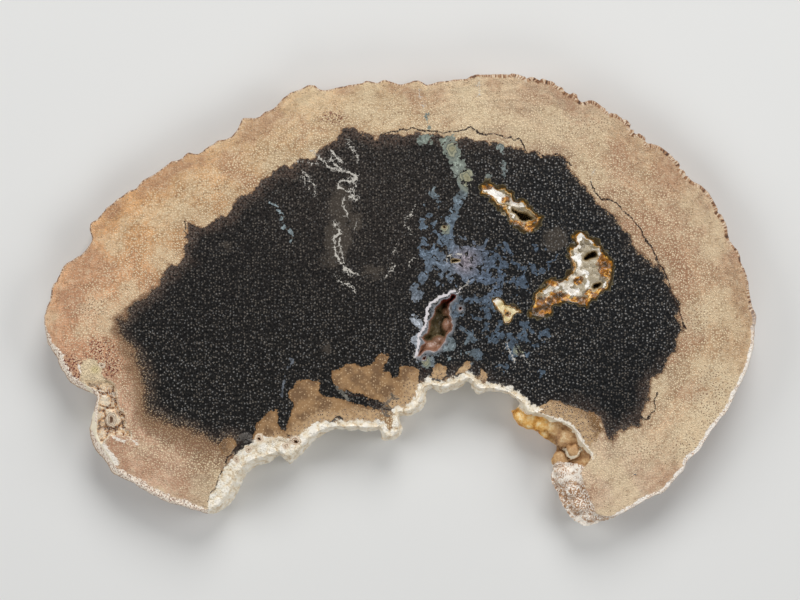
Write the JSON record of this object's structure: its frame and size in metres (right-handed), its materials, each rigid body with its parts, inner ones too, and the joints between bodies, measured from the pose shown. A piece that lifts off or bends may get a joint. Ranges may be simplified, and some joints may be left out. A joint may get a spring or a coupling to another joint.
{
  "type": "petrified palm wood slab",
  "caption": "Flat slab sawn across a petrified palm trunk, with one polished face, a bark rim, agate hollows, and a bay in one long side lined with knobbly chalcedony.",
  "frame": {"origin": "under the middle of the slab's outline, on its sawn back", "axes": "+Z out of the polished face, +X along the slab's long side, +Y from the hollow bay to the far rim"},
  "size_m": [0.3574, 0.2274, 0.022],
  "materials": {
    "stone": "polished silicified wood on one face, natural bark rim and sawn back"
  },
  "bodies": {
    "root": {"slab": "stone"}
  },
  "joints": []
}
